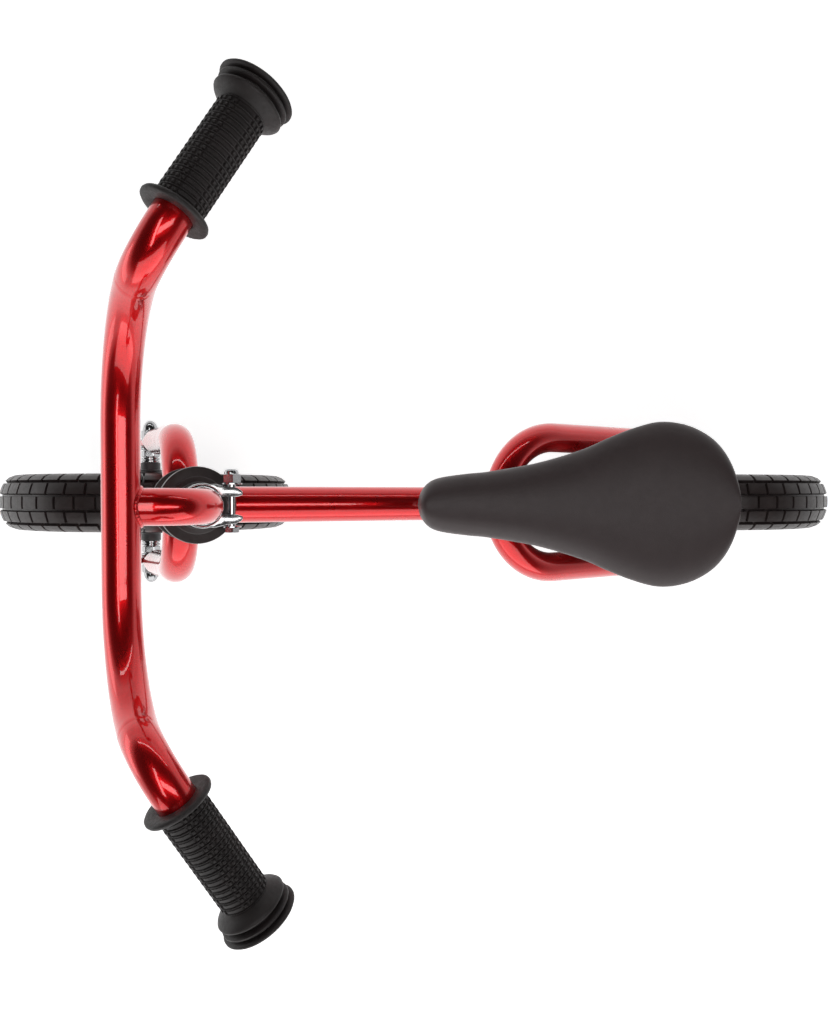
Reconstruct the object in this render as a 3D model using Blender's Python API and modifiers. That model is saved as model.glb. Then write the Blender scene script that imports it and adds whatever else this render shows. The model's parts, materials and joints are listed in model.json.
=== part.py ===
"""A child's balance bike: two twelve-inch wheels, a steel frame with a looped rear stay,
a bent-tube fork, a riser handlebar with padded grips, and a long padded saddle.

The frame is metres with +X forward, +Y to the rider's left and +Z up. The origin is on the
ground, half way between the two axles.
"""
import math

import bmesh
import bpy
from mathutils import Vector

# ---- driving sizes, in metres -------------------------------------------------------------
GAP = 0.0003                       # air between two pieces that touch

WHEEL_RADIUS = 0.146
WHEELBASE = 0.570
TYRE_HALF_WIDTH = 0.0265
WHEEL_STEPS = 32
WHEEL_FLAT_RADIUS = WHEEL_RADIUS / math.cos(math.pi / WHEEL_STEPS)   # corners of the tread's flats
RIM_BED_RADIUS = 0.101
RIM_FLANGE_RADIUS = 0.107
RIM_INNER_RADIUS = 0.097
RIM_HALF_WIDTH = 0.015
SPOKE_COUNT = 5

HEAD_ANGLE = math.radians(15)      # lean of the steering axis from the vertical
STEERING_POINT = Vector((0.196, 0, 0.430))
HEAD_TUBE_RADIUS = 0.019
HEAD_TUBE_TOP = -0.0033            # heights along the steering axis, from STEERING_POINT
HEAD_TUBE_BOTTOM = -0.0637
FLANGE_RADIUS = 0.0295
FLANGE_THICKNESS = 0.006
STEERER_RADIUS = 0.0143
STEERER_BORE = 0.0131
STEERER_TOP = 0.034
CROWN_HEIGHT = -0.0868
FORK_RADIUS = 0.015
FORK_HALF_WIDTH = 0.056            # at the ends of the arch
FORK_SPLAY = 0.005                 # how much further apart the legs' lower ends are
TUBE_WALL = 0.0015
HEAD_TUBE_WALL = 0.002
FORK_END_HEIGHT = -0.272
ARCH_STEPS = 6                     # steps in a quarter turn of the fork's and the loop's bends

STEM_RADIUS = 0.0127
STEM_BOTTOM = -0.055
STEM_BEND_RADIUS = 0.030
STEM_END = Vector((0.227, 0, 0.5135))      # inside the handlebar
BAR_CENTRE = Vector((0.233, 0, 0.5175))
BAR_RISE_START = Vector((0.233, 0.119, 0.5175))     # corner where the bar turns up and back
BAR_RISE_START_BEND = 0.090
BAR_RISE_END_BEND = 0.0360
BAR_RISE_END_INBOARD = 0.030       # the second corner, on the grip's line, from the grip
GRIP_START = Vector((0.1848, 0.1696, 0.5980))
GRIP_END = Vector((0.1375, 0.2512, 0.5770))
BUMPER_RADIUS = 0.025
GRIP_BORE_DEPTH = 0.085

MAIN_TUBE_RADIUS = 0.0143
MAIN_TUBE_FRONT = Vector((0.2020, 0, 0.4075))
MAIN_TUBE_REAR = Vector((-0.057, 0, 0.3276))        # a point over the loop's front bend
SEAT_ANGLE = math.radians(22)      # lean of the seat tube from the vertical
SEAT_TUBE_FOOT = Vector((-0.0715, 0, 0.255))
SEAT_TUBE_RADIUS = 0.0159
SEAT_TUBE_BORE = 0.0131
SEAT_TUBE_LENGTH = 0.104
SEAT_POST_RADIUS = 0.0127
SADDLE_CLAMP_HEIGHT = 0.132        # along the seat tube, from its foot
LOOP_RADIUS = 0.014
LOOP_HALF_WIDTH = 0.062
LOOP_BEND_LENGTH = 0.070          # the front bend is longer than half the loop's width
LOOP_FRONT = Vector((-0.057, 0, 0.297))
LOOP_END_DISTANCE = 0.026          # from the rear axle

AXLE_RADIUS = 0.00475
AXLE_HALF_LENGTH = 0.080
DROPOUT_INNER = 0.0575             # inner face, from the middle plane
DROPOUT_THICKNESS = 0.005
DROPOUT_EYE_RADIUS = 0.0135
WELD_GAP = 0.0012                  # between a dropout and the end of its tube
BEARING_OUTER_RADIUS = 0.013
BEARING_INNER_FACE = 0.023
BEARING_OUTER_FACE = 0.031
HUB_RADIUS = 0.018
SPACER_RADIUS = 0.010
COLLAR_RADIUS = 0.0080
SPACER_END = 0.0405

SADDLE_EDGE = 0.4040               # height of the cover's lower edge
SADDLE_BASE_THICKNESS = 0.005
# half width along the saddle, nose to tail: (x, half width)
SADDLE_OUTLINE = ((0.0270, 0.004), (0.0205, 0.0165), (0.0050, 0.0225), (-0.0300, 0.0262),
                  (-0.0700, 0.0335), (-0.1050, 0.0445), (-0.1400, 0.0600), (-0.1720, 0.0655),
                  (-0.1980, 0.0575), (-0.2150, 0.0430), (-0.2230, 0.0260), (-0.2260, 0.005))
SADDLE_NOSE_CROWN = 0.026          # thickness of the padding at the nose and at the tail
SADDLE_TAIL_CROWN = 0.034

FRONT_AXLE = Vector((WHEELBASE / 2, 0, WHEEL_RADIUS))
REAR_AXLE = Vector((-WHEELBASE / 2, 0, WHEEL_RADIUS))
SIDES = (("left", 1), ("right", -1))

FINISHES = {                       # colour, roughness, metallic
    "red_paint": ((0.50, 0.008, 0.012), 0.18, 0.55),
    "chrome": ((0.80, 0.80, 0.80), 0.12, 1.0),
    "black_plastic": ((0.016, 0.016, 0.017), 0.40, 0.0),
    "grey_plastic": ((0.075, 0.078, 0.080), 0.45, 0.0),
    "grip_rubber": ((0.018, 0.018, 0.018), 0.62, 0.0),
    "tyre_rubber": ((0.020, 0.020, 0.021), 0.55, 0.0),
    "saddle_cover": ((0.014, 0.014, 0.015), 0.50, 0.0),
}


# ---- scene, collections and materials -----------------------------------------------------
def clear_scene():
    for thing in list(bpy.data.objects):
        bpy.data.objects.remove(thing, do_unlink=True)


def make_collection(name):
    collection = bpy.data.collections.new(name)
    bpy.context.scene.collection.children.link(collection)
    return collection


def make_material(node, finish):
    colour, roughness, metallic = FINISHES[finish]
    material = bpy.data.materials.new(node)
    material.use_nodes = True
    shader = material.node_tree.nodes["Principled BSDF"]
    shader.inputs["Base Color"].default_value = (*colour, 1)
    shader.inputs["Roughness"].default_value = roughness
    shader.inputs["Metallic"].default_value = metallic
    return material


clear_scene()
PARTS = make_collection("balance_bike")
CUTTERS = make_collection("cutters")


def make_empty(name, location, rotation):
    empty = bpy.data.objects.new(name, None)
    PARTS.objects.link(empty)
    empty.location = location
    empty.rotation_euler = rotation
    return empty


STEERING_LINE = make_empty("steering_line", STEERING_POINT, (0, -HEAD_ANGLE, 0))
SEAT_LINE = make_empty("seat_line", SEAT_TUBE_FOOT, (0, -SEAT_ANGLE, 0))
FRONT_AXLE_LINE = make_empty("front_axle_line", FRONT_AXLE, (-math.pi / 2, 0, 0))
REAR_AXLE_LINE = make_empty("rear_axle_line", REAR_AXLE, (-math.pi / 2, 0, 0))


# ---- small modelling helpers ----------------------------------------------------------------
def finish_part(part, finish, parent=None, location=(0, 0, 0), rotation=(0, 0, 0)):
    """Give a part its material, its collection, its parent and its place."""
    part.data.materials.clear()
    part.data.materials.append(make_material(part.name, finish))
    place(part, PARTS, parent, location, rotation)
    return part


def place(thing, collection, parent, location, rotation):
    if thing.name not in collection.objects:
        collection.objects.link(thing)
    thing.parent = parent
    thing.location = location
    thing.rotation_euler = rotation


def make_cutter(thing, parent=None, location=(0, 0, 0), rotation=(0, 0, 0)):
    place(thing, CUTTERS, parent, location, rotation)
    thing.hide_render = True
    thing.display_type = "WIRE"
    return thing


def boolean(part, other, operation="DIFFERENCE"):
    modifier = part.modifiers.new(operation.lower(), "BOOLEAN")
    modifier.operation = operation
    modifier.object = other


def to_mesh(curve_object):
    """Replace a curve by its welded mesh."""
    depsgraph = bpy.context.evaluated_depsgraph_get()
    mesh = bpy.data.meshes.new_from_object(curve_object.evaluated_get(depsgraph))
    work = bmesh.new()
    work.from_mesh(mesh)
    bmesh.ops.remove_doubles(work, verts=work.verts, dist=1e-6)
    bmesh.ops.recalc_face_normals(work, faces=work.faces)
    work.to_mesh(mesh)
    work.free()
    name = curve_object.name
    curve_object.name = name + "_curve"
    made = bpy.data.objects.new(name, mesh)
    made.matrix_world = curve_object.matrix_world
    bpy.data.objects.remove(curve_object, do_unlink=True)
    return made


def turned(name, profile, steps=20, on_axis=False):
    """A ring or a solid of revolution about local Z from (radius, height) points.

    The profile runs down its outer side; a ring's profile comes back up its inner side.
    """
    mesh = bpy.data.meshes.new(name)
    count = len(profile)
    edges = [(i, i + 1) for i in range(count - 1)]
    if not on_axis:
        edges.append((count - 1, 0))
    mesh.from_pydata([(radius, 0, height) for radius, height in profile], edges, [])
    part = bpy.data.objects.new(name, mesh)
    screw = part.modifiers.new("turn", "SCREW")
    screw.angle = 2 * math.pi
    screw.steps = steps
    screw.render_steps = steps
    screw.use_merge_vertices = True
    screw.merge_threshold = 1e-5
    screw.use_smooth_shade = True
    return part


def ring(name, inner, outer, low, high, steps=20):
    """A plain tube or washer about local Z."""
    return turned(name, ((outer, high), (outer, low), (inner, low), (inner, high)), steps)


def rod(name, radius, low, high, steps=12):
    """A solid cylinder about local Z."""
    return turned(name, ((0, high), (radius, high), (radius, low), (0, low)), steps, on_axis=True)


def arc(centre, radius, start, end, count):
    """Points on an arc in a flat outline, both ends included; angles in radians."""
    angles = [start + (end - start) * i / count for i in range(count + 1)]
    return [(centre[0] + radius * math.cos(a), centre[1] + radius * math.sin(a)) for a in angles]


def circle(centre, radius, count):
    return arc(centre, radius, 0, 2 * math.pi, count)[:-1]


def plate(name, outlines, low, high):
    """A flat piece from closed outlines (the first is the edge, the others are holes)."""
    curve = bpy.data.curves.new(name, "CURVE")
    curve.dimensions = "2D"
    curve.fill_mode = "BOTH"
    curve.extrude = (high - low) / 2
    for outline in outlines:
        spline = curve.splines.new("POLY")
        spline.points.add(len(outline) - 1)
        for point, (x, y) in zip(spline.points, outline):
            point.co = (x, y, 0, 1)
        spline.use_cyclic_u = True
    outline_object = bpy.data.objects.new(name, curve)
    bpy.context.scene.collection.objects.link(outline_object)
    made = to_mesh(outline_object)
    for vertex in made.data.vertices:
        vertex.co.z += (low + high) / 2
    return made


def rounded_path(corners, bend_radii, step=math.radians(13)):
    """A path through corners, each inner corner rounded by an arc of its bend radius."""
    path = [Vector(corners[0])]
    for before, corner, after, radius in zip(corners, corners[1:], corners[2:], bend_radii):
        towards_start = (Vector(before) - corner).normalized()
        towards_end = (Vector(after) - corner).normalized()
        opening = towards_start.angle(towards_end)
        turn = math.pi - opening
        middle = corner + (towards_start + towards_end).normalized() * radius / math.sin(opening / 2)
        first = corner + towards_start * radius / math.tan(opening / 2) - middle
        last = corner + towards_end * radius / math.tan(opening / 2) - middle
        across = (last - first * math.cos(turn)) / math.sin(turn)
        count = max(2, round(turn / step))
        for i in range(count + 1):
            angle = turn * i / count
            path.append(middle + first * math.cos(angle) + across * math.sin(angle))
    path.append(Vector(corners[-1]))
    return path


def tube(name, path, radius, wall=None, sides=12, end_scale=None):
    """A round tube along a path; hollow and open at its ends where wall is given.

    end_scale gives the factor by which the tube narrows over its last stretch at both ends.
    """
    curve = bpy.data.curves.new(name, "CURVE")
    curve.dimensions = "3D"
    curve.bevel_depth = radius
    curve.bevel_resolution = sides // 4 - 1
    curve.use_fill_caps = wall is None
    spline = curve.splines.new("POLY")
    spline.points.add(len(path) - 1)
    for point, place_on_path in zip(spline.points, path):
        point.co = (*place_on_path, 1)
    if end_scale:
        spline.points[0].radius = end_scale
        spline.points[-1].radius = end_scale
    made_curve = bpy.data.objects.new(name, curve)
    bpy.context.scene.collection.objects.link(made_curve)
    made = to_mesh(made_curve)
    if wall:
        shell = made.modifiers.new("wall", "SOLIDIFY")
        shell.thickness = wall
        shell.offset = -1
    return made


def hexagon(across_flats):
    return circle((0, 0), across_flats / math.sqrt(3), 6)


def hex_ring(name, across_flats, bore, low, high):
    return plate(name, [hexagon(across_flats), circle((0, 0), bore, 12)[::-1]], low, high)


def split_clamp(name, bore, outer, ears, ear_gap, ear_root, ear_tip, height, bolt_radius, bolt_at):
    """A clamp band about local Z with two ears on its -X side and a bolt hole through them."""
    slot_angle = math.asin(ear_gap / bore)
    root_angle = math.asin(ear_root / outer)
    outline = arc((0, 0), outer, -math.pi + root_angle, math.pi - root_angle, 16)
    outline += [(-ears, ear_tip), (-ears, ear_gap)]
    outline += arc((0, 0), bore, math.pi - slot_angle, -math.pi + slot_angle, 18)
    outline += [(-ears, -ear_gap), (-ears, -ear_tip)]
    clamp = plate(name, [outline], -height / 2, height / 2)
    drill = make_cutter(rod(name + "_drill", bolt_radius + GAP, -2 * ears, 2 * ears, 12), clamp,
                        (-bolt_at, 0, 0), (math.pi / 2, 0, 0))
    boolean(clamp, drill)
    return clamp


# ---- wheels ---------------------------------------------------------------------------------
def tyre_profile():
    outer = [(RIM_BED_RADIUS + GAP, 0.0117), (0.1080, 0.0117), (0.1180, 0.0235),
             (0.1290, TYRE_HALF_WIDTH), (0.1400, 0.0220), (WHEEL_FLAT_RADIUS, 0.0100)]
    inner = [(RIM_BED_RADIUS + GAP, 0.0080), (0.1180, 0.0165), (0.1360, 0.0140)]
    down = outer + [(radius, -height) for radius, height in reversed(outer)]
    up = [(radius, -height) for radius, height in inner] + inner[::-1]
    return down + up


def rim_profile():
    lip = RIM_HALF_WIDTH
    bed = RIM_HALF_WIDTH - 0.003
    return ((RIM_FLANGE_RADIUS, lip), (RIM_FLANGE_RADIUS, bed), (RIM_BED_RADIUS, bed),
            (RIM_BED_RADIUS, -bed), (RIM_FLANGE_RADIUS, -bed), (RIM_FLANGE_RADIUS, -lip),
            (RIM_INNER_RADIUS, -lip), (RIM_INNER_RADIUS, lip))


def hub_profile():
    seat = BEARING_OUTER_RADIUS + GAP
    shoulder = BEARING_INNER_FACE - GAP
    through = 0.009
    return ((HUB_RADIUS, BEARING_OUTER_FACE), (HUB_RADIUS, -BEARING_OUTER_FACE),
            (seat, -BEARING_OUTER_FACE), (seat, -shoulder), (through, -shoulder),
            (through, shoulder), (seat, shoulder), (seat, BEARING_OUTER_FACE))


def spoke_outline():
    """One spoke seen along the axle: wide at the hub and at the rim, narrow between."""
    root, end = 0.0155, RIM_INNER_RADIUS + 0.002
    half = [(root, 0.0085), (0.035, 0.0100), (0.075, 0.0085), (end, 0.0125)]
    return [(x, -y) for x, y in half] + [(x, y) for x, y in reversed(half)]


def make_wheel(prefix, line):
    half_step = (0, 0, math.pi / WHEEL_STEPS)      # puts a flat of the tread on the ground
    finish_part(turned(prefix + "_tyre", tyre_profile(), WHEEL_STEPS), "tyre_rubber", line,
                rotation=half_step)
    rim = finish_part(turned(prefix + "_rim", rim_profile(), WHEEL_STEPS), "black_plastic", line,
                      rotation=half_step)
    for i in range(SPOKE_COUNT):
        spoke = make_cutter(plate(f"{prefix}_spoke_{i}", [spoke_outline()], -0.006, 0.006), rim,
                            rotation=(0, 0, 2 * math.pi * i / SPOKE_COUNT))
        boolean(rim, spoke, "UNION")
    hub = make_cutter(turned(prefix + "_hub", hub_profile(), 16), rim)
    bore = make_cutter(rod(prefix + "_hub_bore", 0.0160, -0.03, 0.03, 16), rim)
    boolean(rim, bore)                             # clears the spokes' inner ends
    boolean(rim, hub, "UNION")
    for side, sign in SIDES:
        bearing = ring(f"{prefix}_bearing_{side}", AXLE_RADIUS + GAP, BEARING_OUTER_RADIUS,
                       BEARING_INNER_FACE, BEARING_OUTER_FACE, 16)
        finish_part(bearing, "chrome", line, rotation=(0 if sign > 0 else math.pi, 0, 0))


def cap_nut(name):
    """A hexagon with a domed end, bored from its flat side for the axle."""
    base, shoulder, top = 0.0648, 0.0745, 0.0845
    nut = plate(name, [hexagon(0.017)], base, shoulder)
    rings = 3
    radius, foot, flat = 0.0078, shoulder - 0.001, 0.0022      # a small flat on the tip
    turns = [math.pi / 2 * i / rings for i in range(1, rings + 1)]
    crown = [(0, top), (flat, top)]
    crown += [(radius * math.sin(turn), foot + (top - foot) * math.cos(turn)) for turn in turns]
    dome = make_cutter(turned(name + "_dome", crown + [(0, foot)], 12, on_axis=True), nut)
    boolean(nut, dome, "UNION")
    bore = make_cutter(rod(name + "_bore", AXLE_RADIUS + GAP, base - 0.01,
                           AXLE_HALF_LENGTH + GAP, 12), nut)
    boolean(nut, bore)
    return nut


def lock_nut(name):
    """A hexagon between a collar and a washer face."""
    collar, hex_low, hex_high, end = 0.0408, 0.0460, 0.0530, 0.0572
    nut = plate(name, [hexagon(0.0165), circle((0, 0), AXLE_RADIUS + GAP, 12)[::-1]],
                hex_low, hex_high)
    body = make_cutter(ring(name + "_body", AXLE_RADIUS + GAP, COLLAR_RADIUS, collar, end, 12), nut)
    boolean(nut, body, "UNION")
    return nut


def make_axle(prefix, line):
    finish_part(rod(prefix + "_axle", AXLE_RADIUS, -AXLE_HALF_LENGTH, AXLE_HALF_LENGTH), "chrome", line)
    outer_face = DROPOUT_INNER + DROPOUT_THICKNESS
    for side, sign in SIDES:
        turn = (0 if sign > 0 else math.pi, 0, 0)
        spacer = ring(f"{prefix}_axle_spacer_{side}", AXLE_RADIUS + GAP, SPACER_RADIUS,
                      BEARING_OUTER_FACE + GAP, SPACER_END, 12)
        finish_part(spacer, "grey_plastic", line, rotation=turn)
        finish_part(lock_nut(f"{prefix}_lock_nut_{side}"), "chrome", line, rotation=turn)
        washer = ring(f"{prefix}_axle_washer_{side}", AXLE_RADIUS + GAP, 0.0105,
                      outer_face + GAP, outer_face + 0.002, 12)
        finish_part(washer, "chrome", line, rotation=turn)
        finish_part(cap_nut(f"{prefix}_axle_nut_{side}"), "chrome", line, rotation=turn)


def dropout(name, tube_end, axle, sign, half_width):
    """A flat plate from a tube's end to the axle, with a round eye for the axle."""
    along = (tube_end - axle)
    length = Vector((along.x, along.z)).length - WELD_GAP
    lean = math.atan2(along.x, along.z)            # from the vertical, towards +X
    tangent = math.acos((DROPOUT_EYE_RADIUS - half_width) / length)
    start = math.pi / 2 + tangent
    eye = arc((0, 0), DROPOUT_EYE_RADIUS, start, start + 2 * (math.pi - tangent), 10)
    outline = eye + [(half_width, length), (-half_width, length)]
    part = plate(name, [outline, circle((0, 0), AXLE_RADIUS + GAP, 12)[::-1]],
                 DROPOUT_INNER, DROPOUT_INNER + DROPOUT_THICKNESS)
    # local Y runs up the plate, local Z runs outwards from the middle plane
    if sign > 0:
        rotation = (math.pi / 2, lean, math.pi)
    else:
        rotation = (math.pi / 2, lean, 0)
    finish_part(part, "red_paint", None, axle, rotation)
    return part


# ---- fork and steering ----------------------------------------------------------------------
def steering_point(forward, side, height):
    """A point given along the steering axis, in world coordinates."""
    cosine, sine = math.cos(HEAD_ANGLE), math.sin(HEAD_ANGLE)
    return STEERING_POINT + Vector((cosine * forward - sine * height, side,
                                    sine * forward + cosine * height))


def steering_coordinates(point):
    """How far forward of the steering axis, and how far up it, a world point is."""
    cosine, sine = math.cos(HEAD_ANGLE), math.sin(HEAD_ANGLE)
    offset = point - STEERING_POINT
    return offset.x * cosine + offset.z * sine, offset.z * cosine - offset.x * sine


def fork_path():
    """The fork's centreline: one end, the arch over the wheel, the other end."""
    axle_forward, axle_height = steering_coordinates(FRONT_AXLE)
    end_forward = axle_forward * 0.9
    half = []
    for i in range(ARCH_STEPS + 1):
        angle = math.pi / 2 * i / ARCH_STEPS
        half.append((0, FORK_HALF_WIDTH * math.cos(angle),
                     CROWN_HEIGHT - FORK_HALF_WIDTH * (1 - math.sin(angle))))
    lower = [(end_forward, FORK_HALF_WIDTH + FORK_SPLAY, FORK_END_HEIGHT),
             (end_forward * 0.55, FORK_HALF_WIDTH + FORK_SPLAY * 0.65, FORK_END_HEIGHT + 0.040),
             (end_forward * 0.15, FORK_HALF_WIDTH + FORK_SPLAY * 0.3, FORK_END_HEIGHT + 0.085)]
    left = lower + half
    right = [(forward, -side, height) for forward, side, height in reversed(left[:-1])]
    return [steering_point(*point) for point in left + right]


def make_fork():
    path = fork_path()
    finish_part(tube("fork", path, FORK_RADIUS, wall=TUBE_WALL, end_scale=0.78), "red_paint")
    steerer = ring("steerer_tube", STEERER_BORE, STEERER_RADIUS, CROWN_HEIGHT, STEERER_TOP)
    finish_part(steerer, "chrome", STEERING_LINE)
    crown = rod("crown_cutter", FORK_RADIUS + GAP, -0.03, 0.03, 24)
    make_cutter(crown, STEERING_LINE, (0, 0, CROWN_HEIGHT), (math.pi / 2, 0, 0))
    boolean(steerer, crown)
    for (side, sign), end in zip(SIDES, (path[0], path[-1])):
        dropout(f"fork_dropout_{side}", end, FRONT_AXLE, sign, 0.0105)


def make_headset():
    sleeve = HEAD_TUBE_RADIUS - HEAD_TUBE_WALL - GAP
    bore = STEERER_RADIUS + GAP
    upper = ((0.0175, 0.0130), (0.0175, 0.0040), (FLANGE_RADIUS, 0.0025), (FLANGE_RADIUS, -0.0030),
             (sleeve, -0.0030), (sleeve, -0.0150), (bore, -0.0150), (bore, 0.0130))
    finish_part(turned("headset_bushing_upper", upper), "black_plastic", STEERING_LINE)
    top = HEAD_TUBE_BOTTOM - GAP
    low = top - FLANGE_THICKNESS
    lower = ((sleeve, top + 0.0120), (sleeve, top), (FLANGE_RADIUS, top), (FLANGE_RADIUS, low),
             (bore, low), (bore, top + 0.0120))
    finish_part(turned("headset_bushing_lower", lower), "black_plastic", STEERING_LINE)


def make_stem_clamp():
    height = 0.024                                 # of the clamp's middle, up the steering axis
    bolt_at = 0.020
    clamp = split_clamp("stem_clamp", STEERER_RADIUS + GAP, 0.0166, 0.029, 0.0065, 0.0150, 0.0125,
                        0.019, 0.003, bolt_at)
    finish_part(clamp, "chrome", STEERING_LINE, (0, 0, height))
    line = (-bolt_at, 0, height)
    bolt = plate("stem_clamp_bolt", [hexagon(0.010)], 0.0160, 0.0200)
    shank = make_cutter(rod("stem_clamp_shank", 0.003, -0.0225, 0.0165, 12), bolt)
    boolean(bolt, shank, "UNION")
    finish_part(bolt, "chrome", STEERING_LINE, line, (-math.pi / 2, 0, 0))
    nut = hex_ring("stem_clamp_nut", 0.0127, 0.003 + GAP, 0.0160, 0.0225)
    cap_profile = ((0, 0.0270), (0.0035, 0.0270), (0.0056, 0.0250), (0.0056, 0.0222), (0, 0.0222))
    cap = make_cutter(turned("stem_clamp_nut_cap", cap_profile, 16, on_axis=True), nut)
    boolean(nut, cap, "UNION")
    bore = make_cutter(rod("stem_clamp_nut_bore", 0.003 + GAP, 0.010, 0.0232, 12), nut)
    boolean(nut, bore)
    finish_part(nut, "chrome", STEERING_LINE, line, (math.pi / 2, 0, 0))


# ---- handlebar ------------------------------------------------------------------------------
def bar_path():
    grip_line = (GRIP_END - GRIP_START).normalized()
    bar_end = GRIP_START + grip_line * (GRIP_BORE_DEPTH - 0.002)
    rise_end = GRIP_START - grip_line * BAR_RISE_END_INBOARD
    left = rounded_path([BAR_CENTRE, BAR_RISE_START, rise_end, bar_end],
                        (BAR_RISE_START_BEND, BAR_RISE_END_BEND))[1:]
    right = [Vector((point.x, -point.y, point.z)) for point in left]
    return right[::-1] + left


def stem_path():
    bottom = steering_point(0, 0, STEM_BOTTOM)
    rise = STEM_END.z - STEERING_POINT.z
    corner = STEERING_POINT + Vector((-rise * math.tan(HEAD_ANGLE), 0, rise))
    return rounded_path([bottom, corner, STEM_END], (STEM_BEND_RADIUS,))


def grip_profile():
    """From the closed outer end back to the inner flange, then down the bore."""
    length = (GRIP_END - GRIP_START).length
    bore = STEM_RADIUS + GAP
    end = [(0, length), (0.019, length)]
    end += [(BUMPER_RADIUS, length - 0.0020), (BUMPER_RADIUS, length - 0.0135),
            (BUMPER_RADIUS - 0.0015, length - 0.0150)]
    body = [(0.0158, length - 0.0185), (0.0155, 0.0065), (0.0220, 0.0040), (0.0220, 0.0)]
    return end + body + [(bore, 0.0), (bore, GRIP_BORE_DEPTH), (0, GRIP_BORE_DEPTH)]


def make_handlebar():
    finish_part(tube("handlebar", bar_path(), STEM_RADIUS, wall=TUBE_WALL), "red_paint")
    stem = finish_part(tube("handlebar_stem", stem_path(), STEM_RADIUS, wall=TUBE_WALL), "red_paint")
    bar_cutter = rod("bar_cutter", STEM_RADIUS + GAP, -0.03, 0.03, 24)
    boolean(stem, make_cutter(bar_cutter, None, BAR_CENTRE, (math.pi / 2, 0, 0)))
    for side, sign in SIDES:
        start = Vector((GRIP_START.x, sign * GRIP_START.y, GRIP_START.z))
        end = Vector((GRIP_END.x, sign * GRIP_END.y, GRIP_END.z))
        turn = (end - start).to_track_quat("Z", "Y").to_euler()
        finish_part(turned(f"grip_{side}", grip_profile(), 20, on_axis=True), "grip_rubber",
                    None, start, turn)


# ---- frame ----------------------------------------------------------------------------------
def loop_path():
    """The rear loop's centreline: left end, round the front bend, right end."""
    forward = (LOOP_FRONT - REAR_AXLE).normalized()
    end = REAR_AXLE + forward * LOOP_END_DISTANCE
    centre = LOOP_FRONT - forward * LOOP_BEND_LENGTH
    path = [end + Vector((0, LOOP_HALF_WIDTH, 0))]
    for i in range(2 * ARCH_STEPS + 1):
        angle = math.pi * i / (2 * ARCH_STEPS)
        path.append(centre + forward * LOOP_BEND_LENGTH * math.sin(angle)
                    + Vector((0, LOOP_HALF_WIDTH * math.cos(angle), 0)))
    path.append(end - Vector((0, LOOP_HALF_WIDTH, 0)))
    return path


def seat_line_crossing(start, direction):
    """Where a line in the middle plane meets the seat tube's centreline."""
    up = Vector((-math.sin(SEAT_ANGLE), 0, math.cos(SEAT_ANGLE)))
    normal = Vector((up.z, 0, -up.x))
    return start + direction * ((SEAT_TUBE_FOOT - start).dot(normal) / direction.dot(normal))


def make_frame():
    head = ring("head_tube", HEAD_TUBE_RADIUS - HEAD_TUBE_WALL, HEAD_TUBE_RADIUS, HEAD_TUBE_BOTTOM,
                HEAD_TUBE_TOP)
    finish_part(head, "red_paint", STEERING_LINE)
    backwards = (MAIN_TUBE_REAR - MAIN_TUBE_FRONT).normalized()
    rear_end = seat_line_crossing(MAIN_TUBE_FRONT, backwards)
    main = finish_part(tube("main_tube", [MAIN_TUBE_FRONT, rear_end], MAIN_TUBE_RADIUS, wall=TUBE_WALL,
                            sides=24), "red_paint")
    head_cutter = rod("head_cutter", HEAD_TUBE_RADIUS + GAP, -0.09, 0.03, 24)
    boolean(main, make_cutter(head_cutter, STEERING_LINE))
    seat_cutter = rod("seat_cutter", SEAT_TUBE_RADIUS + GAP, -0.05, 0.15, 24)
    boolean(main, make_cutter(seat_cutter, SEAT_LINE))

    path = loop_path()
    finish_part(tube("rear_loop", path, LOOP_RADIUS, wall=TUBE_WALL), "red_paint")
    for (side, sign), end in zip(SIDES, (path[0], path[-1])):
        dropout(f"rear_dropout_{side}", end, REAR_AXLE, sign, 0.0125)

    seat = ring("seat_tube", SEAT_TUBE_BORE, SEAT_TUBE_RADIUS, 0, SEAT_TUBE_LENGTH)
    finish_part(seat, "red_paint", SEAT_LINE)
    boolean(seat, make_cutter(tube("loop_cutter", path[2:-2], LOOP_RADIUS + 2 * GAP, sides=24)))


def make_seat_collar():
    height = SEAT_TUBE_LENGTH - 0.008
    bolt_at = 0.0225
    collar = split_clamp("seat_collar", SEAT_TUBE_RADIUS + GAP, 0.0190, 0.028, 0.0020, 0.0080,
                         0.0080, 0.012, 0.0025, bolt_at)
    finish_part(collar, "chrome", SEAT_LINE, (0, 0, height))
    bolt = plate("seat_collar_bolt", [hexagon(0.008)], 0.0083, 0.0123)
    shank = make_cutter(rod("seat_collar_shank", 0.0025, -0.0100, 0.0085, 12), bolt)
    boolean(bolt, shank, "UNION")
    finish_part(bolt, "chrome", SEAT_LINE, (-bolt_at, 0, height), (-math.pi / 2, 0, 0))


# ---- saddle ---------------------------------------------------------------------------------
def saddle_section(x, half_width, low, crown, shape):
    """One cross-section of the saddle as (across, height) factors scaled to its size."""
    return [(x, half_width * across, low + crown * up) for across, up in shape]


def loft(name, sections):
    """A closed skin over like sections, capped at both ends."""
    work = bmesh.new()
    rings = [[work.verts.new(point) for point in section] for section in sections]
    count = len(sections[0])
    for ring_a, ring_b in zip(rings, rings[1:]):
        for i in range(count):
            j = (i + 1) % count
            work.faces.new((ring_a[i], ring_a[j], ring_b[j], ring_b[i]))
    work.faces.new(rings[0])
    work.faces.new(rings[-1])
    bmesh.ops.recalc_face_normals(work, faces=work.faces)
    mesh = bpy.data.meshes.new(name)
    work.to_mesh(mesh)
    work.free()
    return bpy.data.objects.new(name, mesh)


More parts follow.
